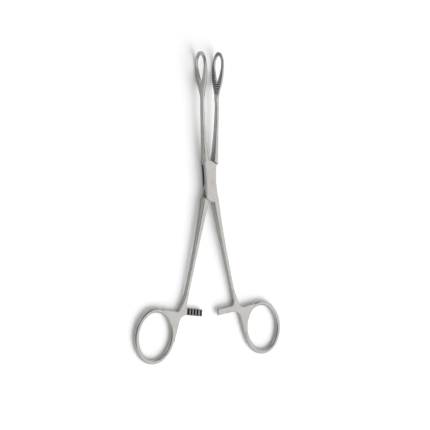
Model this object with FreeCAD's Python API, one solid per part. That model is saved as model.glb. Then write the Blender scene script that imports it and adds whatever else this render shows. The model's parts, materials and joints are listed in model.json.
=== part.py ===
import FreeCAD, Part
import math
import os

# Sponge-holding forceps: two crossed halves on a box lock, ring jaws above, finger rings below.
# Lengths are in mm and angles in degrees.
# The hinge axis is Z, the jaws point along +Y, and the front face looks along +Z.
# Every shape is first made as it lies with the jaws closed and its middle plane at z = 0,
# then turned to the half-open rest pose and raised until the rear of the lock is at z = 0.

# Hinge and rest pose
half_opening = 4.2

# Box lock
lock_thickness = 6.7
lock_half_length = 15.7
lock_lower_waist = 4.15
lock_upper_waist = 4.75
lock_gap_half_width = 0.85
lock_corner_x = 5.55
lock_corner_drop = 3.1
lock_edge_radius = 0.6
slot_height = 2.3
slot_shift = -0.9
flat_clearance = 0.05
shoulder_clearance = 0.08
pin_radius = 2.0
pin_running_clearance = 0.04

# Jaws
tip_reach = 99.4
jaw_thickness = 2.2
jaw_width = 14.7
jaw_widest_from_tip = 12.6
jaw_neck_from_tip = 38.0
jaw_flank_share = 0.6
jaw_toe_in = 1.2
jaw_touch_clearance = 0.05
jaw_outer_edge_radius = 0.8
window_length = 21.6
window_width = 11.2
window_widest_share = 0.33
window_flank_share = 0.42
window_foot_width = 1.6
window_from_tip = 2.6
window_edge_radius = 0.4
serration_pitch = 1.65
serration_depth = 0.45
serration_length = 33.0
serration_fan = 19

# Shanks, from the lock up to the jaw and from the lock down to the handle
upper_shank_lock_width = 4.15
upper_shank_bow = 0.55
upper_shank_end_width = 2.16
upper_shank_end_thickness = 3.4
lower_shank_lock_width = 4.9
lower_shank_end_x = 16.1
lower_shank_end_lead = 2.4
lower_shank_bow = -0.45
lower_shank_end_width = 2.8
lower_shank_end_thickness = 3.36
shank_corner_share = 0.26
shank_taper_power = 2.2
shank_lap = 1.0
shank_set_in = 0.02

# Finger rings
ring_x = 39.9
ring_drop = 20.2
ring_semi_long = 19.5
ring_semi_short = 15.5
ring_end_radius = 13.0
ring_rod_radius = 1.9
ring_lean = 4.6

# Ratchet arms
ratchet_radius = 98.8
ratchet_arm_height = 5.2
ratchet_overlap = 0.9
ratchet_tip_land = 1.1
ratchet_pitch = 2.64
ratchet_teeth = 4
ratchet_tooth_depth = 0.9
ratchet_root_land = 0.35
ratchet_crest_land = 0.4
ratchet_mesh_clearance = 0.1
ratchet_root_length = 3.1
ratchet_tip_radius = 0.8

# Web that joins shank, ratchet arm and ring
web_thickness = 3.72
web_edge_radius = 0.95
web_height = 12.0
web_inner_radius = 3.0
web_lower_radius = 5.0
web_shoulder_reach = 0.9
web_shoulder_rise = 3.0
web_crotch_reach = 3.9
web_crotch_drop = 2.6
web_heel_reach = 1.6
web_heel_drop = 2.4
web_ring_top_angle = 103
web_ring_side_angle = 186.5

Vec = FreeCAD.Vector
Z_AXIS = Vec(0, 0, 1)
Y_AXIS = Vec(0, 1, 0)
ORIGIN = Vec(0, 0, 0)
TOUCHING = 1e-6
QUARTER_ROUND = 0.5523
SHANK_STATIONS = 9


# Helpers

def polar(angle, radius):
    return Vec(radius * math.cos(math.radians(angle)), radius * math.sin(math.radians(angle)), 0)


def bezier(poles):
    curve = Part.BezierCurve()
    curve.setPoles([Vec(x, y, 0) for x, y in poles])
    return curve.toShape()


def rounded_wire(corners):
    """Closed wire through (x, y, radius) corners, each corner turned into an arc of its radius."""
    points = [Vec(x, y, 0) for x, y, radius in corners]
    edges = []
    arcs = []
    for i, corner in enumerate(points):
        back = (points[i - 1] - corner).normalize()
        ahead = (points[(i + 1) % len(points)] - corner).normalize()
        half_angle = back.getAngle(ahead) / 2
        radius = corners[i][2]
        start = corner + back * (radius / math.tan(half_angle))
        end = corner + ahead * (radius / math.tan(half_angle))
        bisector = (back + ahead).normalize()
        middle = corner + bisector * (radius / math.sin(half_angle) - radius)
        arcs.append((start, middle, end, radius))
    for i, (start, middle, end, radius) in enumerate(arcs):
        if radius > 0:
            edges.append(Part.Arc(start, middle, end).toShape())
        following = arcs[(i + 1) % len(arcs)][0]
        edges.append(Part.makeLine(end, following))
    return Part.Wire(edges)


def prism(wire, bottom, top):
    face = Part.Face(wire)
    face.translate(Vec(0, 0, bottom))
    return face.extrude(Vec(0, 0, top - bottom))


def edges_at(solid, z):
    """Edges that lie in the plane of this height."""
    level = [edge for edge in solid.Edges if edge.BoundBox.ZLength < TOUCHING]
    return [edge for edge in level if abs(edge.BoundBox.ZMin - z) < TOUCHING]


def rims(solid):
    """Edges that bound the two flat Z faces of a prism."""
    return edges_at(solid, solid.BoundBox.ZMin) + edges_at(solid, solid.BoundBox.ZMax)


def shank_section(y, centre_x, width, thickness):
    """Rounded rectangle across a shank, in the plane of constant y."""
    radius = shank_corner_share * min(width, thickness)
    w = width / 2
    t = thickness / 2
    wire = rounded_wire([(-w, -t, radius), (w, -t, radius), (w, t, radius), (-w, t, radius)])
    wire.rotate(ORIGIN, Vec(1, 0, 0), 90)
    wire.translate(Vec(centre_x, y, 0))
    return wire


def tapered(start, end, share):
    """Size at a share of the way from the lock: falls fast at first, then levels out."""
    return end + (start - end) * (1 - share) ** shank_taper_power


# Lock

def lock_side(shank_width, waist_width):
    """One side of the lock plan: free corner cut on the slant, waist, then the foot of a shank."""
    gap = lock_gap_half_width
    end = lock_half_length
    corner = Vec(lock_corner_x, end - lock_corner_drop, 0)
    waist = Vec(waist_width, 0, 0)
    foot = Vec(gap + shank_width, -end, 0)
    return [
        Part.makeLine(Vec(gap, end, 0), corner),
        Part.Arc(corner, waist, foot).toShape(),
        Part.makeLine(foot, Vec(-gap, -end, 0)),
    ]


def lock_outline():
    """Plan of one lock plate: an hourglass that runs into one shank at each end."""
    right = lock_side(lower_shank_lock_width, lock_lower_waist)
    left = lock_side(upper_shank_lock_width, lock_upper_waist)
    for edge in left:
        edge.rotate(ORIGIN, Z_AXIS, 180)
    return Part.Wire(right + left)


def lock_pad():
    pad = prism(lock_outline(), -lock_thickness / 2, lock_thickness / 2)
    sides = [edge for edge in rims(pad) if edge.BoundBox.YLength > lock_half_length]
    return pad.makeFillet(lock_edge_radius, sides)


def crossing_space(bottom, top):
    """Room cleared in one half for the lock of the other, between that lock's two shoulders."""
    gap = lock_gap_half_width
    slope = lock_corner_drop / (lock_corner_x - gap)
    ledge = lock_half_length + shoulder_clearance
    far = lock_half_length
    corners = [(-far, ledge - slope * (far - gap)), (-gap, ledge), (far, ledge)]
    corners += [(-x, -y) for x, y in corners]
    points = [Vec(x, y, 0) for x, y in corners]
    return prism(Part.makePolygon(points + points[:1]), bottom, top)


# Shanks

def shank(start, end, bow, side):
    """Tapered bar between two (x, y, width, thickness) ends, bowed sideways at its middle."""
    sections = []
    for i in range(SHANK_STATIONS):
        share = i / (SHANK_STATIONS - 1)
        x = start[0] + (end[0] - start[0]) * share + bow * 4 * share * (1 - share)
        y = start[1] + (end[1] - start[1]) * share
        width = tapered(start[2], end[2], share)
        thickness = tapered(start[3], end[3], share)
        sections.append(shank_section(y, side * x, width, thickness))
    return Part.makeLoft(sections, True, False)


def lower_shank_end_y():
    """Height where the shank ends inside the web, a little above the ratchet's circle."""
    return lower_shank_end_lead - ratchet_radius


def shank_foot(width):
    """End of a shank where it laps into the lock, set in by a hair."""
    x = lock_gap_half_width + width / 2
    return (x, lock_half_length - shank_lap, width - 2 * shank_set_in, lock_thickness - 2 * shank_set_in)


def upper_shank():
    """Shank from the lock to the jaw, bowed away from its neighbour."""
    end_y = tip_reach - jaw_neck_from_tip + upper_shank_end_thickness
    end_x = jaw_face_x(end_y) + jaw_thickness / 2
    end = (end_x, end_y, upper_shank_end_width, upper_shank_end_thickness)
    return shank(shank_foot(upper_shank_lock_width), end, upper_shank_bow, -1)


def lower_shank():
    """Shank from the lock to the handle, spreading outward."""
    x, y, width, thickness = shank_foot(lower_shank_lock_width)
    end = (lower_shank_end_x, lower_shank_end_y(), lower_shank_end_width, lower_shank_end_thickness)
    return shank((x, -y, width, thickness), end, lower_shank_bow, 1)


# Jaw

def jaw_face_x(y):
    """Distance of the gripping face from the middle plane, jaws closed."""
    return jaw_touch_clearance + (tip_reach - y) * math.tan(math.radians(jaw_toe_in))


def jaw_outline():
    """Racket-shaped outline in the plane of the gripping face, tip at the origin, drawn in XY."""
    half = jaw_width / 2
    neck = upper_shank_end_thickness / 2 + shank_set_in
    widest = -jaw_widest_from_tip
    foot = -jaw_neck_from_tip
    brow = widest * (1 - QUARTER_ROUND)
    bend = widest + (foot - widest) * jaw_flank_share
    side = [(half, widest), (half, bend), (neck, bend), (neck, foot)]
    head = bezier([(0, 0), (QUARTER_ROUND * half, 0), (half, brow), (half, widest)])
    flank = bezier(side)
    right = [head, flank]
    left = [edge.mirror(ORIGIN, Vec(1, 0, 0)) for edge in right]
    base = Part.makeLine(Vec(neck, foot, 0), Vec(-neck, foot, 0))
    return Part.Wire(Part.__sortEdges__(right + left + [base]))


def jaw_window():
    """Drop-shaped window: half an oval towards the tip, then flanks that run together below."""
    half = window_width / 2
    top = -window_from_tip
    widest = top - window_length * window_widest_share
    foot = top - window_length
    brow = widest + (top - widest) * QUARTER_ROUND
    bend = widest + (foot - widest) * window_flank_share
    head = bezier([(0, top), (QUARTER_ROUND * half, top), (half, brow), (half, widest)])
    flank = bezier([(half, widest), (half, bend), (window_foot_width / 2, foot), (0, foot)])
    right = [head, flank]
    left = [edge.mirror(ORIGIN, Vec(1, 0, 0)) for edge in right]
    return Part.Wire(Part.__sortEdges__(right + left))


def within_window(edge):
    """True for an edge of the window's rim, and False for one of the jaw's outline."""
    box = edge.BoundBox
    top = -window_from_tip + TOUCHING
    foot = -window_from_tip - window_length - TOUCHING
    return box.YMax < top and box.YMin > foot and box.XLength < window_width


def jaw():
    """Ring jaw lying flat: gripping face up at z = 0, then set upright at the tip of the shank."""
    plate = prism(jaw_outline(), -jaw_thickness, 0)
    rim = [edge for edge in edges_at(plate, -jaw_thickness) if edge.BoundBox.YLength > jaw_thickness]
    plate = plate.makeFillet(jaw_outer_edge_radius, rim)
    window = prism(jaw_window(), -2 * jaw_thickness, jaw_thickness)
    plate = plate.cut(window)
    outer_face = edges_at(plate, -jaw_thickness)
    rim = [edge for edge in outer_face if within_window(edge)]
    plate = plate.makeFillet(window_edge_radius, rim)
    plate = plate.cut(serration_grooves())
    plate.rotate(ORIGIN, Y_AXIS, 90)
    plate.rotate(ORIGIN, Z_AXIS, -jaw_toe_in)
    plate.translate(Vec(-jaw_touch_clearance, tip_reach, 0))
    return plate


def groove(start, length):
    """V groove that runs along +X in the gripping face from the given x."""
    points = [
        Vec(start, -serration_depth, 0),
        Vec(start, 0, -serration_depth),
        Vec(start, serration_depth, 0),
    ]
    face = Part.Face(Part.makePolygon(points + points[:1]))
    return face.extrude(Vec(length, 0, 0))


def serration_grooves():
    """Grooves that fan out round the head of the ring, then run straight across down to the neck."""
    grooves = []
    for i in range(serration_fan):
        ray = groove(window_width / 4, 2 * jaw_width)
        ray.rotate(ORIGIN, Z_AXIS, 180 * (i + 0.5) / serration_fan)
        ray.translate(Vec(0, -jaw_widest_from_tip, 0))
        grooves.append(ray)
    straight = serration_length - jaw_widest_from_tip
    for i in range(int(straight / serration_pitch)):
        across = groove(-jaw_width, 2 * jaw_width)
        across.translate(Vec(0, -jaw_widest_from_tip - serration_pitch * (i + 0.5), 0))
        grooves.append(across)
    return Part.makeCompound(grooves)


# Handle

def ring_arcs(outset):
    """Oval of four tangent arcs about the ring's centre, its long axis along Y, grown by outset.

    Each arc is (centre, radius, start angle, sweep), in the order top, left, bottom, right.
    """
    end_rise = ring_semi_long - ring_end_radius
    side_radius = end_rise ** 2 + ring_semi_short ** 2 - ring_end_radius ** 2
    side_radius = side_radius / (2 * (ring_semi_short - ring_end_radius))
    side_shift = side_radius - ring_semi_short
    start = math.degrees(math.atan2(end_rise, side_shift))
    top = (Vec(0, end_rise, 0), ring_end_radius + outset, start, 180 - 2 * start)
    left = (Vec(side_shift, 0, 0), side_radius + outset, 180 - start, 2 * start)
    bottom = (Vec(0, -end_rise, 0), ring_end_radius + outset, 180 + start, 180 - 2 * start)
    right = (Vec(-side_shift, 0, 0), side_radius + outset, -start, 2 * start)
    return [top, left, bottom, right]


def place_ring(shape):
    shape.rotate(ORIGIN, Z_AXIS, ring_lean)
    shape.translate(Vec(ring_x, -ratchet_radius - ring_drop, 0))
    return shape


def ring_rim_point(arc, angle):
    """Point just inside the outer rim of the ring, on one of its four arcs."""
    centre, radius, start, sweep = ring_arcs(ring_rod_radius - shank_set_in)[arc]
    point = place_ring(Part.Vertex(centre + polar(angle, radius)))
    return (point.X, point.Y)


def finger_ring():
    """Round rod bent to the oval: four lengths of torus that meet on common circles."""
    rods = []
    for centre, radius, start, sweep in ring_arcs(0):
        section = Part.Face(Part.Wire([Part.makeCircle(ring_rod_radius, Vec(radius, 0, 0), Y_AXIS)]))
        rod = section.revolve(ORIGIN, Z_AXIS, sweep)
        rod.rotate(ORIGIN, Z_AXIS, start)
        rod.translate(centre)
        rods.append(rod)
    return place_ring(rods[0].fuse(rods[1:]).removeSplitter())


def ring_opening(margin):
    """Column inside the ring's centre line, smaller than it by the margin."""
    edges = []
    for centre, radius, start, sweep in ring_arcs(-margin):
        ends = [centre + polar(start + share * sweep, radius) for share in (0, 0.5, 1)]
        edges.append(Part.Arc(*ends).toShape())
    return place_ring(prism(Part.Wire(edges), -web_thickness, web_thickness))


def handle_web():
    """Flat web that joins shank and ring and runs out into the ratchet arm."""
    inner = lower_shank_end_x - lower_shank_end_width / 2
    outer = lower_shank_end_x + lower_shank_end_width / 2
    slope = lower_shank_end_x / -lower_shank_end_y()
    tip_top = -math.sqrt(ratchet_radius ** 2 - ratchet_overlap ** 2)
    root_top = -math.sqrt(ratchet_radius ** 2 - inner ** 2)
    shank_top = root_top + web_height
    rise = slope * web_height
    ring_top = ring_rim_point(0, web_ring_top_angle)
    ring_side = ring_rim_point(1, web_ring_side_angle)
    corners = [
        (-ratchet_overlap, tip_top, ratchet_tip_radius),
        (inner, root_top, web_inner_radius),
        (inner - rise, shank_top, 0),
        (outer - rise, shank_top, 0),
        (outer + web_shoulder_reach, root_top + web_shoulder_rise, web_lower_radius),
        (outer + web_crotch_reach, root_top - web_crotch_drop, web_inner_radius),
        (ring_top[0], ring_top[1], 0),
        (ring_side[0], ring_side[1], 0),
        (outer + web_heel_reach, root_top - ratchet_arm_height - web_heel_drop, web_lower_radius),
        (inner, root_top - ratchet_arm_height, web_lower_radius),
        (-ratchet_overlap, tip_top - ratchet_arm_height, ratchet_tip_radius),
    ]
    web = prism(rounded_wire(corners), -web_thickness / 2, web_thickness / 2)
    web = web.makeFillet(web_edge_radius, rims(web))
    return web.cut(ring_opening(shank_set_in))


def ratchet_gullets():
    """Space behind the arm: each ramp rises from the arm's tip towards its root, then drops."""
    root = ratchet_tooth_depth / 2 + ratchet_mesh_clearance / 2
    crest = -ratchet_tooth_depth / 2
    x = ratchet_tip_land - ratchet_overlap
    profile = [(x - 2 * ratchet_pitch, -lock_thickness), (x - 2 * ratchet_pitch, root), (x, root)]
    for i in range(ratchet_teeth):
        profile.append((x + ratchet_root_land, root))
        x += ratchet_pitch
        profile += [(x - ratchet_crest_land, crest), (x, crest), (x, root)]
    x += ratchet_root_length
    profile += [(x, root), (x, -lock_thickness)]
    points = [Vec(x, -ratchet_radius + ratchet_arm_height / 2, z) for x, z in profile]
    face = Part.Face(Part.makePolygon(points + points[:1]))
    return face.extrude(Vec(0, -2 * ratchet_arm_height, 0))


# Pieces

def forging():
    """One half before its lock is cut: left jaw, lock pad, right shank, arm and ring."""
    solid = upper_shank().fuse([lower_shank(), lock_pad(), jaw(), finger_ring(), handle_web()])
    solid = solid.cut(ratchet_gullets())
    return solid.removeSplitter()


def bore(radius):
    return Part.makeCylinder(radius, 2 * lock_thickness, Vec(0, 0, -lock_thickness))


def box_half():
    """Half with the slot: its two lock plates hold the pin."""
    slot = crossing_space(slot_shift - slot_height / 2, slot_shift + slot_height / 2)
    solid = forging().cut([slot, bore(pin_radius)])
    solid.rotate(ORIGIN, Z_AXIS, half_opening)
    return solid


def tongue_half():
    """Half with the tongue: the same forging turned over, thinned where the plates lie."""
    half_tongue = slot_height / 2 - flat_clearance
    over = crossing_space(half_tongue - slot_shift, lock_thickness)
    under = crossing_space(-lock_thickness, -half_tongue - slot_shift)
    solid = forging().cut([over, under, bore(pin_radius + pin_running_clearance)])
    solid.rotate(ORIGIN, Y_AXIS, 180)
    solid.rotate(ORIGIN, Z_AXIS, -half_opening)
    return solid


def lock_pin():
    return Part.makeCylinder(pin_radius, lock_thickness, Vec(0, 0, -lock_thickness / 2))


os.makedirs("parts", exist_ok=True)
nodes = {"box_half": box_half, "tongue_half": tongue_half, "lock_pin": lock_pin}
for name, make in nodes.items():
    shape = make()
    shape.translate(Vec(0, 0, lock_thickness / 2))
    shape.exportStep("parts/" + name + ".step")
    print(name, len(shape.Solids), shape.isValid(), round(shape.Volume, 1))
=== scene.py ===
# %% [markdown]
# Sponge-holding forceps, dressed for a studio picture.
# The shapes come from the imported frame: two crossed halves on a box lock, and a pin.
# This file adds what a plain view of the solids lacks: the camera, the floor and the light,
# and the finish of hand-ground stainless steel. Blender counts in metres, and sizes of the
# instrument are written here in millimetres, times MM.

# %% Load the frame
import json
import math

import bpy
import numpy as np
from mathutils import Matrix, Vector


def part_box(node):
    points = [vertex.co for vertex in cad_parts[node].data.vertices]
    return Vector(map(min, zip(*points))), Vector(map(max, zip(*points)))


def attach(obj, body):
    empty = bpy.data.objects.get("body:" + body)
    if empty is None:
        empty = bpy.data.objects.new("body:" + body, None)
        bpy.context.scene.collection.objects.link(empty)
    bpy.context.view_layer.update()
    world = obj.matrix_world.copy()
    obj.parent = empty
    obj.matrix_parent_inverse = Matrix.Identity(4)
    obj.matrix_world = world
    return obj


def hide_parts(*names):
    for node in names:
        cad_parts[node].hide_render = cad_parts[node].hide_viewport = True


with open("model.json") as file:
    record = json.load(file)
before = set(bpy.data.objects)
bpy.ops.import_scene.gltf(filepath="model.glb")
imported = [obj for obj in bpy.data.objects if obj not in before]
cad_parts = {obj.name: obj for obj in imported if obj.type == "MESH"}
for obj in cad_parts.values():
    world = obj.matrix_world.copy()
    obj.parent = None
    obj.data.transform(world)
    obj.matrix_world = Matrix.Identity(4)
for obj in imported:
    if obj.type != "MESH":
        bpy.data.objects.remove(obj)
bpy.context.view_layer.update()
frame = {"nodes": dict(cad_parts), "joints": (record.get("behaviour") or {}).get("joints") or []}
nodes = frame["nodes"]
MM = 0.001
print("nodes:", ", ".join(sorted(nodes)))


# %% [markdown]
# The camera looks at the front of the lock from the left and a touch from the jaws' end. It could
# be turned by three Euler angles or made to track a point. Here its three axes, right, up and
# towards the camera, are worked out and become the columns of its matrix. Right stays square to
# the length of the instrument, so the instrument stands upright in the picture. The angles, the
# distance and the lens were tuned until the render lay over the photograph.

# %% Camera
view_turn = math.radians(32.0)
view_lift = math.radians(2.2)
view_distance = 919 * MM
view_centre = (4.18 * MM, -25.88 * MM)
lens = 100.2
sensor = 36.0

lock_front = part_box("lock_pin")[1].z
lock_centre = Vector((0, 0, lock_front / 2))
view_right = Vector((math.cos(view_turn), 0, math.sin(view_turn)))
towards = Vector((
    -math.cos(view_lift) * math.sin(view_turn),
    math.sin(view_lift),
    math.cos(view_lift) * math.cos(view_turn),
))
view_up = towards.cross(view_right)

camera_data = bpy.data.cameras.new("studio_camera")
camera_data.lens = lens
camera_data.sensor_width = sensor
camera = bpy.data.objects.new("studio_camera", camera_data)
bpy.context.scene.collection.objects.link(camera)
eye = lock_centre + view_right * view_centre[0] + view_up * view_centre[1] + towards * view_distance
turned = Matrix((view_right, view_up, towards)).transposed().to_4x4()
camera.matrix_world = Matrix.Translation(eye) @ turned
bpy.context.scene.camera = camera
bpy.context.scene.view_settings.view_transform = "Standard"
print("camera at", [round(value / MM, 1) for value in eye], "mm")


# %% [markdown]
# Forceps put down on a table rest on the rims of the ring jaws and on the far ends of the finger
# rings, so the table isn't quite parallel to the lock. The solids never move here, so the floor
# is tilted instead. A body at rest has its centre as low as it can be, and that gives the tilt:
# try many slopes, and keep the one under which the centre hangs lowest above the supporting line.

# %% Where the floor lies
steepest_degrees = 4
slope_tries = 1601


def mesh_points(item):
    """All vertices of a mesh as rows of x, y, z in metres."""
    points = np.empty(len(item.data.vertices) * 3, np.float32)
    item.data.vertices.foreach_get("co", points)
    return points.reshape(-1, 3).astype(float)


def resting_slope(points, centre, slopes):
    """For slope a the floor's normal is n = (0, -sin a, cos a); centre height = c.n - min(p.n)."""
    normals = np.stack([np.zeros_like(slopes), -np.sin(slopes), np.cos(slopes)], axis=1)
    lowest = (points @ normals.T).min(axis=0)
    heights = normals @ centre - lowest
    best = heights.argmin()
    return slopes[best], lowest[best]


every_point = np.concatenate([mesh_points(node) for node in nodes.values()])
slopes = np.radians(np.linspace(-steepest_degrees, steepest_degrees, slope_tries))
floor_slope, floor_height = resting_slope(every_point, every_point.mean(axis=0), slopes)
print("floor slope", round(math.degrees(floor_slope), 2), "degrees")


# %% [markdown]
# The floor is a sheet of matt white paper under the instrument. It isn't part of the object. A
# plane would do for a view from above, but from low down it would end in a horizon. So the sheet is
# bent up all round, far away, as a photographer's paper sweep is.

# %% Shape of the floor
grid_lines = 121
sheet_reach = 5.0
level_from = 0.22
sweep_from = 2.5
sweep_rise = 1.5


def floor_sheet(name, slope, height):
    """Grid of points x = reach * u**3, y = reach * v**3, close together near the instrument.

    z is height / cos a + y * tan a * e**-(y / level_from)**8 + rise * far**2. The first two terms
    are the tilted table. The factor e**... makes it level again further off, so that it never
    stands between the instrument and a low camera. The last term bends the sheet up.
    """
    u, v = np.meshgrid(np.linspace(-1, 1, grid_lines), np.linspace(-1, 1, grid_lines))
    x, y = sheet_reach * u ** 3, sheet_reach * v ** 3
    far = np.clip((np.hypot(x, y) - sweep_from) / (sheet_reach - sweep_from), 0, None)
    z = height / math.cos(slope) + y * math.tan(slope) * np.exp(-((y / level_from) ** 8))
    corners = np.stack([x, y, z + sweep_rise * far ** 2], axis=-1)
    index = np.arange(x.size).reshape(x.shape)
    quads = np.stack([index[:-1, :-1], index[:-1, 1:], index[1:, 1:], index[1:, :-1]], axis=-1)
    mesh = bpy.data.meshes.new(name)
    mesh.from_pydata(corners.reshape(-1, 3).tolist(), [], quads.reshape(-1, 4).tolist())
    mesh.shade_smooth()
    sheet = bpy.data.objects.new(name, mesh)
    bpy.context.scene.collection.objects.link(sheet)
    return sheet


floor = floor_sheet("floor", floor_slope, floor_height)
print("floor lies", round(-floor_height / MM, 2), "mm behind the rear of the lock")


# %% [markdown]
# One small class carries a shader socket about, so that shader maths reads like arithmetic.
# A second one owns a node tree, of a material or of the world, and makes its nodes: kind,
# settings, then the sockets' values. Nodes could be added one by one through Blender's own calls,
# but a finish of fifty nodes would then take four times as many lines.

# %% Shader helpers
class Term:
    """A shader value: adding, scaling or comparing it makes the Math node for that."""

    def __init__(self, finish, socket):
        self.finish = finish
        self.socket = socket

    def math(self, operation, first, second=0.0):
        """Any operation of the Math node, on two values or sockets."""
        return self.finish.node("Math", {"operation": operation}, {0: first, 1: second})

    def __add__(self, other):
        return self.math("ADD", self, other)

    def __sub__(self, other):
        return self.math("SUBTRACT", self, other)

    def __rsub__(self, other):
        return self.math("SUBTRACT", other, self)

    def __mul__(self, other):
        return self.math("MULTIPLY", self, other)

    def __truediv__(self, other):
        return self.math("DIVIDE", self, other)

    def __pow__(self, other):
        return self.math("POWER", self, other)

    __radd__ = __add__
    __rmul__ = __mul__

    def least(self, other):
        """The smaller of the two."""
        return self.math("MINIMUM", self, other)

    def between(self, zero, one):
        """A smooth step that is 0 as far as the value zero, and 1 from the value one onwards."""
        settings = {"interpolation_type": "SMOOTHSTEP"}
        inputs = {"Value": self, "From Min": zero, "From Max": one}
        return self.finish.node("MapRange", settings, inputs)


class Finish:
    """The node tree of a material, or of the world, under construction."""

    def __init__(self, owner, shader="Principled BSDF"):
        owner.use_nodes = True
        self.owner = owner
        self.tree = owner.node_tree
        self.shader = self.tree.nodes[shader]

    def node(self, kind, settings, inputs, output=0):
        """One output of a new node; its settings come first, then values or links of sockets."""
        made = self.tree.nodes.new("ShaderNode" + kind)
        for name, value in settings.items():
            setattr(made, name, value)
        for name, value in inputs.items():
            self.feed(made.inputs[name], value)
        return Term(self, made.outputs[output])

    def outputs(self, kind, inputs):
        """All outputs of a new node, under their names."""
        made = self.node(kind, {}, inputs).socket.node
        return {socket.name: Term(self, socket) for socket in made.outputs}

    def feed(self, socket, value):
        """Links a Term to a socket, or sets the socket to a plain value."""
        if isinstance(value, Term):
            self.tree.links.new(value.socket, socket)
        else:
            socket.default_value = value

    def surface(self, **values):
        """Sets sockets of the tree's own shader; an underscore stands for a space."""
        for name, value in values.items():
            self.feed(self.shader.inputs[name.replace("_", " ")], value)

    def mix(self, amount, low, high):
        """Colour that goes from low to high as the amount goes from 0 to 1."""
        return self.node("Mix", {"data_type": "RGBA"}, {0: amount, 6: low, 7: high}, 2)

    def noise(self, vector, scale, detail=2.0):
        """Cloudy pattern between 0 and 1, with scale bumps to the metre."""
        return self.node("TexNoise", {}, {"Vector": vector, "Scale": scale, "Detail": detail})


def grey(value, warmth=0.0):
    """Opaque colour of a linear grey, a little red where the warmth is above 0."""
    return (value * (1 + warmth), value, value * (1 - warmth), 1.0)


print("shader helpers ready")


# %% [markdown]
# White paper under soft light renders as pale grey. A stronger lamp would whiten it, but would
# also wash out the steel. So the paper glows a little, and only for the camera and for mirrors:
# the Light Path node tells what kind of ray is asking. It glows more in the distance, where the
# lamp hardly reaches. The glow lights nothing, and the shadow by the instrument stays.

# %% Paper of the floor
glow_near = grey(0.12)
glow_far = grey(0.60)
glow_grows = (0.3, 2.0)

paper = Finish(bpy.data.materials.new("floor_paper"))
ray = paper.outputs("LightPath", {})
seen = (ray["Is Camera Ray"] + ray["Is Glossy Ray"] + ray["Is Transmission Ray"]).least(1.0)
place = paper.node("TexCoord", {}, {}, "Object")
distance = paper.node("VectorMath", {"operation": "LENGTH"}, {0: place}, "Value")
glow = paper.mix(distance.between(*glow_grows), glow_near, glow_far)
paper.surface(Base_Color=grey(0.92), Roughness=0.9, Specular_IOR_Level=0.1)
paper.surface(Emission_Color=paper.mix(seen, grey(0.0), glow), Emission_Strength=1.0)
floor.data.materials.append(paper.owner)
print("paper glows from", glow_near[0], "to", glow_far[0])


# %% [markdown]
# Polished steel has no colour of its own worth speaking of: it shows the room. So the room is
# made before the steel. One wide lamp stands beyond the finger rings, to the right, and gives the
# paper its light and the instrument its soft shadow. Its mirror image would burn white patches
# into the edges that face it, so it is hidden from mirrors.

# %% Lamp
lamp_side = (0.42, -0.62, 0.68)
lamp_distance = 2.4
lamp_width = 2.2
lamp_power = 42


def soft_box(name, direction, distance, size, power):
    """Square lamp that faces the lock from the given direction."""
    data = bpy.data.lights.new(name, "AREA")
    data.shape = "SQUARE"
    data.size = size
    data.energy = power
    lamp = bpy.data.objects.new(name, data)
    bpy.context.scene.collection.objects.link(lamp)
    aim = Vector(direction).normalized()
    lamp.location = lock_centre + aim * distance
    lamp.rotation_euler = aim.to_track_quat("Z", "Y").to_euler()
    lamp.visible_glossy = False
    return lamp


lamp = soft_box("wide_lamp", lamp_side, lamp_distance, lamp_width, lamp_power)
print("lamp at", [round(value, 2) for value in lamp.location], "m")


# %% [markdown]
# What the steel mirrors is the world behind everything. It is bright towards the lower right,
# where the flat front faces mirror it to the camera, and dim beyond the jaws, so that edges which
# face that way show up in dark grey, as on a studio table. A panorama of a real studio would do
# it too. A dot product with the bright direction gives the same soft change, and can be tuned.

# %% Walls of the studio
wall_low = 0.05
wall_high = 1.12
wall_grows = (0.15, 0.85)
bright_side = Vector((0.50, -0.50, 0.70)).normalized()

walls = Finish(bpy.data.worlds.new("studio_walls"), "Background")
outward = walls.node("TexCoord", {}, {}, "Generated")
along = {0: outward, 1: bright_side}
aligned = walls.node("VectorMath", {"operation": "DOT_PRODUCT"}, along, "Value")
wall_strength = wall_low + (wall_high - wall_low) * aligned.between(*wall_grows)
walls.surface(Color=grey(1.0), Strength=wall_strength)
bpy.context.scene.world = walls.owner
print("walls are brightest towards", [round(value, 2) for value in bright_side])


# %% [markdown]
# Each half was modelled with the jaws closed and then turned to the half-open rest pose. Patterns
# are easier to lay out on the closed shape, where the two halves are alike and stand straight.
# A UV map would follow the shape too, but the solids have none. So a Mapping node turns the
# Object coordinates back, by half the closing angle of the joint, to one side for each half.

# %% The halves with the jaws closed
half_opening = math.radians(-frame["joints"][0]["range_deg"][0] / 2)
turns = {"box_half": half_opening, "tongue_half": -half_opening}
ring_side = {"box_half": 1.0, "tongue_half": -1.0}


def closed_points(name):
    """Points of a half, turned back to the closed pose and mirrored so that its ring is at +x."""
    points = mesh_points(nodes[name])
    c, s = math.cos(-turns[name]), math.sin(-turns[name])
    x = points[:, 0] * c - points[:, 1] * s
    y = points[:, 0] * s + points[:, 1] * c
    return np.stack([x * ring_side[name], y, points[:, 2]], axis=1)


closed = closed_points("box_half")
mid_height = lock_front / 2
tip_reach = closed[:, 1].max()
foot_reach = closed[:, 1].min()
print("half reaches from", round(foot_reach / MM, 1), "to", round(tip_reach / MM, 1), "mm")


# %% [markdown]
# Polishing lines follow the finger ring round, so the oval of the ring is needed. It can be read
# from the half itself: the ring is all that lies beyond the web and below it. The cloud of its
# points gives the length, the middle and the far side, and the slimness turns length into width.

# %% Ring of the handle
web_reach = 24 * MM
web_foot = -100 * MM
ring_slimness = 0.813

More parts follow.
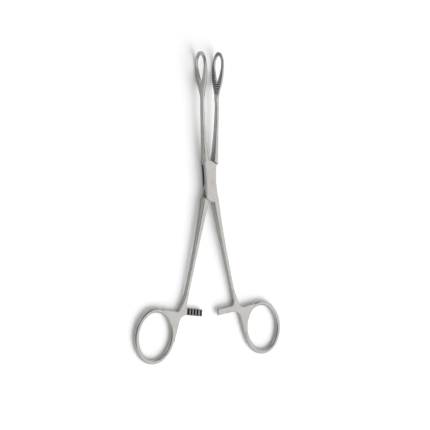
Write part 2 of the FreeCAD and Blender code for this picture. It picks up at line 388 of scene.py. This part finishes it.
ring_cloud = closed[(closed[:, 0] > web_reach) & (closed[:, 1] < web_foot)]
ring_top = ring_cloud[:, 1].max()
ring_half_long = (ring_top - foot_reach) / 2
ring_half_short = ring_half_long * ring_slimness
ring_centre = (ring_cloud[:, 0].max() - ring_half_short, (ring_top + foot_reach) / 2)
print("ring centre", [round(value / MM, 1) for value in ring_centre], "mm")


# %% [markdown]
# The gripping face of a jaw is a plane, nearly along the length of the instrument. The residue and
# painted shade in its grooves are placed by the depth below that plane, so its lean has to be
# exact.
# It is found from the face itself: the innermost points near the tip and near the foot give its
# line.

# %% Gripping face
tip_zone = 3 * MM
grip_length = 30 * MM
foot_zone = 2 * MM


def gripping_line(points):
    """Slope and offset of the line x = offset + slope * y through the innermost jaw points."""
    near_tip = points[points[:, 1] > tip_reach - tip_zone]
    near_foot = points[np.abs(points[:, 1] - (tip_reach - grip_length)) < foot_zone]
    ends = [cloud[cloud[:, 0].argmax()] for cloud in (near_tip, near_foot)]
    slope = (ends[0][0] - ends[1][0]) / (ends[0][1] - ends[1][1])
    return slope, ends[0][0] - slope * ends[0][1]


grip_slope, grip_offset = gripping_line(closed)
print("gripping face leans", round(math.degrees(math.atan(grip_slope)), 2), "degrees")


# %% [markdown]
# Surgical steel is ground, then brushed by hand to a satin. The brush runs along the shanks and
# round the rings, and leaves lines a few hundredths of a millimetre wide and millimetres long.
# Photographs of brushed steel could be laid on, but they need a seam somewhere and blur close up.
# A noise stretched along the stroke makes such lines at any size. Two spaces are mixed for it:
# one that follows the length of a shank, and one that follows the oval of a ring.

# %% Brush strokes
stroke_stretch = 0.015
round_stroke = 0.3 * MM
shank_slope = 0.162
shank_start = -15 * MM
ring_edge = (1.06, 1.02)


def own_axes(finish, name):
    """x, y and z in the closed pose, mirrored as the points are, as three shader values."""
    place = finish.node("TexCoord", {}, {}, "Object")
    turned_back = finish.node(
        "Mapping", {"vector_type": "POINT"}, {"Vector": place, "Rotation": (0, 0, -turns[name])}
    )
    x, y, z = finish.outputs("SeparateXYZ", {"Vector": turned_back}).values()
    return x * ring_side[name], y, z


def stroke_space(finish, x, y, z):
    """Coordinates whose second one is short: the stroke's own direction, shank or ring."""
    across = x + (y - shank_start).least(0.0) * shank_slope
    straight = finish.node("CombineXYZ", {}, {0: across, 1: y * stroke_stretch, 2: z})
    dx = (x - ring_centre[0]) / ring_half_short
    dy = (y - ring_centre[1]) / ring_half_long
    oval = (dx * dx + dy * dy) ** 0.5
    turn = dy.math("ARCTAN2", dy, dx)
    rounded = finish.node(
        "CombineXYZ", {}, {0: oval * ring_half_short, 1: turn * round_stroke, 2: z}
    )
    choice = {0: oval.between(*ring_edge), 4: straight, 5: rounded}
    return finish.node("Mix", {"data_type": "VECTOR"}, choice, 1)


print("strokes are", round(1 / stroke_stretch), "times as long as wide")


# %% [markdown]
# Shade is painted into crevices, where little light gets in, and use brightens steel where things
# rub. Both could be painted by hand, but an Ambient Occlusion node measures them: outside, it finds
# the bottoms of grooves and the gaps by the other half and the floor, and inside the metal it finds
# thin crests and edges.

# %% Painted crevice shade and worn edges
crevice_shade_reach = 1.2 * MM
crevice_shade_grows = (0.40, 0.90)
edge_reach = 0.5 * MM
edge_grows = (0.08, 0.45)


def crevice(finish, reach, inside):
    """0 in the open and 1 deep in a crevice; with inside, 0 on broad metal and 1 on an edge."""
    settings = {"samples": 8, "inside": inside, "only_local": inside}
    return 1.0 - finish.node("AmbientOcclusion", settings, {"Distance": reach}, "AO")


reaches = [round(reach / MM, 1) for reach in (crevice_shade_reach, edge_reach)]
print("grime and edges are looked for within", reaches, "mm")


# %% [markdown]
# The grooves of the serrated jaw faces are painted nearly black: partly residue of polishing,
# partly painted shade. Occlusion alone would miss grooves as shallow as these. Their place is
# known, so they get a mask from their position. A mask is a product of soft steps, and each pair
# of numbers below says where its step is 0 and where it is 1.

# %% Residue and painted shade in the serrated face
face_depth = (0.62 * MM, 0.42 * MM)
face_foot = (tip_reach - 34.5 * MM, tip_reach - 33 * MM)
groove_depth = (0.04 * MM, 0.26 * MM)


def serrated(x, y):
    """1 on the gripping face and 0 on the rest of the jaw, and how deep a groove is there."""
    depth = grip_offset - x + grip_slope * y
    return depth.between(*face_depth) * y.between(*face_foot), depth.between(*groove_depth)


print("serrations reach", round((tip_reach - face_foot[1]) / MM, 1), "mm from the tip")


# %% [markdown]
# The gullets between the ratchet teeth are painted dark as well, partly residue, partly painted
# shade. The arms pass each other at two levels, and the teeth are cut into the sides that face, so
# the depth of a gullet is measured from the middle level, upwards on one half and downwards on
# the other.

# %% Residue and painted shade in the ratchet
arm_root = (14.3 * MM, 13.6 * MM)
arm_top = (-93 * MM, -95 * MM)
crest_height = (0.75 * MM, 0.62 * MM)
gullet_floor = (-1.0 * MM, -0.8 * MM)
gullet_depth = (0.25 * MM, -0.45 * MM)


def toothed(name, x, y, z):
    """1 on the cut side of the ratchet arm, and how deep it is cut there."""
    rise = (z - mid_height) * (-ring_side[name])
    on_arm = x.between(*arm_root) * y.between(*arm_top)
    cut_side = rise.between(*crest_height) * rise.between(*gullet_floor)
    return on_arm * cut_side, rise.between(*gullet_depth)


print("ratchet teeth lie within", round(arm_root[0] / MM, 1), "mm of the middle")


# %% [markdown]
# The slot of the lock is cut right through one half. In the photograph it shows as a black slit,
# the shade deep inside it, and that shade is painted here. It lies behind the middle level, so its
# mask is a band in height, cut off towards the shanks and towards the jaws.

# %% Painted shade in the slot of the lock
slot_middle = mid_height - 0.9 * MM
slot_edge = (1.3 * MM, 1.0 * MM)
slot_foot = (-6 * MM, -1 * MM)
slot_head = (14 * MM, 12 * MM)


def slotted(y, z):
    """1 inside the slot of the lock, where the shade in the slot is painted."""
    level = z - slot_middle
    in_height = level.between(-slot_edge[0], -slot_edge[1]) * level.between(*slot_edge)
    return in_height * y.between(*slot_foot) * y.between(*slot_head)


print("slot middle at", round(slot_middle / MM, 2), "mm")


# %% [markdown]
# Handling leaves fine scratches that cross the brush strokes at any angle. Each family of them
# is one more stretched noise, turned about the z axis, which the broad faces look along. Only the
# thin tops of the noise are kept, so the scratches are few, short and far apart.

# %% Scratches
scratch_grain = 3800.0
scratch_tops = (0.70, 0.76)
scratch_families = [(0.5, 22.0), (2.3, 16.0)]


def scratches(finish, place, angle, spread):
    """1 along sparse thin lines at the angle to the x axis, and 0 between them."""
    stretched = {"Vector": place, "Rotation": (0, 0, angle), "Scale": (spread, 1, 1)}
    lines = finish.node("Mapping", {"vector_type": "TEXTURE"}, stretched)
    return finish.noise(lines, scratch_grain, 0.0).between(*scratch_tops)


angles = [round(math.degrees(angle)) for angle, spread in scratch_families]
print("scratches run at", angles, "degrees to the x axis")


# %% [markdown]
# Bare steel has a warm grey, and the polishing wheel leaves it a little uneven. The flanks between
# the broad faces get painted shade: they are made darker and greener than the faces. The object's
# own normal tells them apart: on a broad face it points to the front or to the rear.

# %% Tones of the steel, and painted shade on the flanks
steel_low = grey(0.445, 0.035)
steel_high = grey(0.545, 0.030)
edge_tone = grey(0.62, 0.02)
painted_flank_shade = (0.290, 0.300, 0.282, 1.0)
tooled_tone = (0.290, 0.325, 0.312, 1.0)
residue_and_shade_tone = (0.030, 0.040, 0.037, 1.0)
cloud_grain = 140.0
cloud_grows = (0.3, 0.7)
broad_grain = 2600.0
face_grows = (0.25, 0.85)
flank_shade_share = 0.7


def broad_face(finish):
    """1 on the broad faces in front and behind, and 0 on the flanks between them."""
    direction = finish.node("TexCoord", {}, {}, "Normal")
    upright = finish.node("SeparateXYZ", {}, {"Vector": direction}, "Z")
    return (upright * upright).between(*face_grows)


def wheel_tone_and_flank_shade(finish, place, strokes_at):
    """Faint clouds and broad strokes between the dark and the light steel, and painted flank shade.
    """
    clouds = finish.noise(place, cloud_grain, 4.0).between(*cloud_grows)
    broad = finish.noise(strokes_at, broad_grain)
    base = finish.mix(0.35 * clouds + 0.45 * broad + 0.1, steel_low, steel_high)
    # Painted shade: the flanks are turned darker and greener by their normal alone.
    return finish.mix(flank_shade_share - flank_shade_share * broad_face(finish), base, painted_flank_shade)


print("steel tones from", steel_low[1], "to", steel_high[1])


# %% [markdown]
# The whole finish of a half is put together here. Over the tone of the wheel and its painted flank
# shade come the bright edges, the tooled faces and, last, the residue and the painted shade of
# crevices, grooves, gullets and the slot. Roughness follows the strokes, falls on rubbed edges and
# rises where residue and shade are painted. A bump lifts the strokes by a few thousandths of a
# millimetre.
# Anisotropic shading would stretch the highlights as well, but would not show single strokes.

# %% Satin of the halves
edge_share = 0.35
face_share = 0.75
arm_share = 0.6
crevice_shade_share = 0.75
fine_grain = 14000.0
smear_grain = 45.0
smear_grows = (0.35, 0.75)
satin = 0.19
stroke_relief = 0.012 * MM
scratch_relief = 0.8


def satin_steel(name):
    """Colour, roughness and bump of one half, from its own coordinates."""
    finish = Finish(bpy.data.materials.new(name + "_satin"))
    x, y, z = own_axes(finish, name)
    strokes_at = stroke_space(finish, x, y, z)
    place = finish.node("TexCoord", {}, {}, "Object")

    # Painted shade where the outside occlusion finds crevices and gaps by the other half and the
    # floor.
    crevice_shade = crevice(finish, crevice_shade_reach, False).between(*crevice_shade_grows)
    rubbed = crevice(finish, edge_reach, True).between(*edge_grows)
    face, groove = serrated(x, y)
    arm, gullet = toothed(name, x, y, z)
    # dark: residue and painted shade in grooves and gullets, painted shade in the slot and
    # crevices.
    dark = (face * groove + arm * gullet + slotted(y, z) + crevice_shade * crevice_shade_share).least(1.0)
    base = wheel_tone_and_flank_shade(finish, place, strokes_at)
    base = finish.mix(rubbed * edge_share, base, edge_tone)
    base = finish.mix(face * face_share, base, tooled_tone)
    base = finish.mix(arm * arm_share, base, tooled_tone)
    base = finish.mix(dark, base, residue_and_shade_tone)

    fine = finish.noise(strokes_at, fine_grain)
    smears = finish.noise(place, smear_grain, 3.0).between(*smear_grows)
    marks = sum(scratches(finish, place, *family) for family in scratch_families)
    rough = satin + 0.09 * fine + 0.07 * smears - 0.06 * rubbed + 0.22 * dark - 0.05 * marks
    relief = fine - marks * scratch_relief
    lines = {"Height": relief, "Strength": 0.35, "Distance": stroke_relief}
    bump = finish.node("Bump", {}, lines)
    finish.surface(Base_Color=base, Metallic=1.0, Roughness=rough, Normal=bump)
    return finish.owner


for name in turns:
    nodes[name].data.materials[0] = satin_steel(name)
print("halves finished:", ", ".join(turns))


# %% [markdown]
# The pin is driven through, peened and ground flush, so only a hairline shows. A cylinder with a
# Bevel modifier would do, but its ends would be dead flat. Here its surface is a profile turned
# round the axis: a faint crown, a fine chamfer at the rim, and a straight wall.

# %% Pin
chamfer = 0.07 * MM
crown = 0.04 * MM
pin_sides = 72
end_rings = 12
hub_share = 0.05


def turned_surface(name, radii, heights, steps):
    """Point (r cos a, r sin a, h) for each angle a of the steps and each r, h of the profile."""
    angles = np.linspace(0, 2 * np.pi, steps, endpoint=False)
    x = np.outer(radii, np.cos(angles))
    y = np.outer(radii, np.sin(angles))
    z = np.outer(heights, np.ones(steps))
    points = np.stack([x, y, z], axis=-1).reshape(-1, 3)
    row, column = np.meshgrid(np.arange(len(radii) - 1), np.arange(steps), indexing="ij")
    start = row * steps + column
    after = row * steps + (column + 1) % steps
    quads = np.stack([start, after, after + steps, start + steps], axis=-1).reshape(-1, 4)
    top = [list(range((len(radii) - 1) * steps, len(radii) * steps))]
    bottom = [list(range(steps - 1, -1, -1))]
    mesh = bpy.data.meshes.new(name)
    mesh.from_pydata(points.tolist(), [], quads.tolist() + top + bottom)
    piece = bpy.data.objects.new(name, mesh)
    bpy.context.scene.collection.objects.link(piece)
    return piece


pin_low, pin_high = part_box("lock_pin")
pin_radius = pin_high.x
shares = np.linspace(hub_share, 1, end_rings)
end_radii = shares * (pin_radius - chamfer)
end_drop = crown * shares ** 2
rim_drop = crown + chamfer
radii = np.concatenate([end_radii, [pin_radius, pin_radius], end_radii[::-1]])
rim_heights = [pin_low.z + rim_drop, pin_high.z - rim_drop]
heights = np.concatenate([pin_low.z + end_drop, rim_heights, pin_high.z - end_drop[::-1]])
pin = turned_surface("turned_pin", radii, heights, pin_sides)
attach(pin, "box_side")
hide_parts("lock_pin")
print("pin", round(pin_radius * 2 / MM, 2), "mm across,", len(pin.data.polygons), "faces")


# %% [markdown]
# The lathe leaves fine rings on the ends of the pin, and a dark line is painted round its rim.
# Both depend on nothing but the distance from the axis, so that distance is the coordinate of
# the noise and of the rim's dark line.

# %% Steel of the pin
ring_grain = 16000.0
pin_cloud_grain = 600.0
rim_starts = pin_radius - 1.4 * chamfer


def turned_steel():
    """Colour, roughness and bump of the pin, from the distance to its axis."""
    finish = Finish(bpy.data.materials.new("pin_turned_steel"))
    place = finish.node("TexCoord", {}, {}, "Object")
    x, y, z = finish.outputs("SeparateXYZ", {"Vector": place}).values()
    distance = (x * x + y * y) ** 0.5
    rings = finish.node("CombineXYZ", {}, {0: distance, 1: 0.0, 2: z})
    marks = finish.noise(rings, ring_grain)
    clouds = finish.noise(place, pin_cloud_grain, 3.0)
    base = finish.mix(clouds, steel_low, steel_high)
    # A dark line painted round the rim of the pin.
    base = finish.mix(distance.between(rim_starts, pin_radius) * 0.5, base, residue_and_shade_tone)
    bump = finish.node("Bump", {}, {"Height": marks, "Strength": 0.3, "Distance": 0.01 * MM})
    finish.surface(Base_Color=base, Metallic=1.0, Roughness=0.26 + 0.12 * marks, Normal=bump)
    return finish.owner


pin.data.materials.append(turned_steel())
print("pin finished, with rings about", round(1 / ring_grain / MM, 2), "mm apart")
